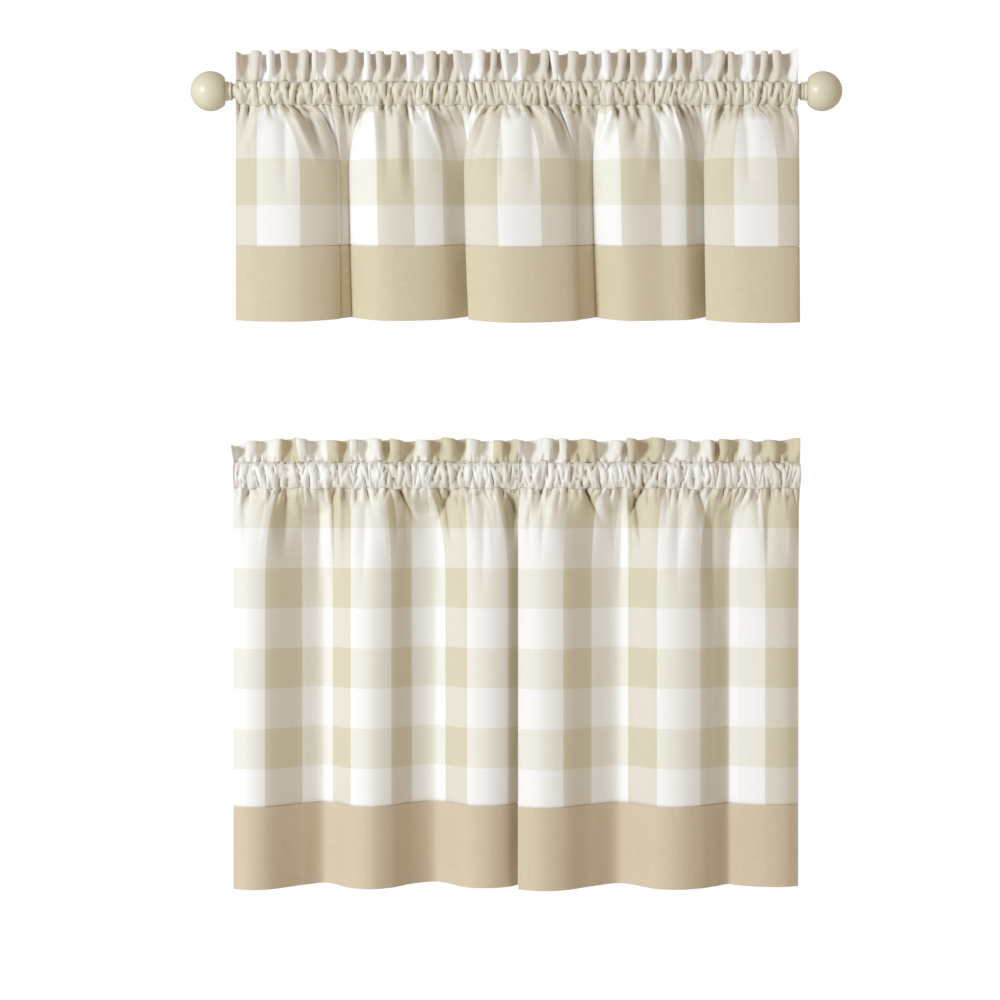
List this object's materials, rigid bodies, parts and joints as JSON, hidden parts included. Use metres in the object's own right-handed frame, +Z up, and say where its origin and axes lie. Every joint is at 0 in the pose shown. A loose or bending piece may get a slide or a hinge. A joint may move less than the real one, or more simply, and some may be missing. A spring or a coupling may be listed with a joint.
{
  "type": "valance and tier curtain set on a rod",
  "caption": "Gathered buffalo-check valance on a cream rod with ball finials, above a pair of matching tier curtains, all with plain tan border bands and ruffled rod-pocket headings.",
  "frame": {"origin": "middle of the valance rod's axis", "axes": "+X to the right along the rod, +Y into the window, -Y toward the room, +Z up"},
  "size_m": [0.8858, 0.0856, 1.1407],
  "materials": {
    "rod_paint": "satin cream paint",
    "finial_paint": "satin cream paint over turned wood",
    "check_cloth": "plain-woven white and tan buffalo check",
    "band_cloth": "plain-woven solid tan"
  },
  "bodies": {
    "root": {"rod": "rod_paint", "finial_left": "finial_paint", "finial_right": "finial_paint", "valance_heading": "check_cloth", "valance_panel": "check_cloth", "valance_band": "band_cloth", "tier_left_heading": "check_cloth", "tier_left_panel": "check_cloth", "tier_left_band": "band_cloth", "tier_right_heading": "check_cloth", "tier_right_panel": "check_cloth", "tier_right_band": "band_cloth"}
  },
  "joints": []
}
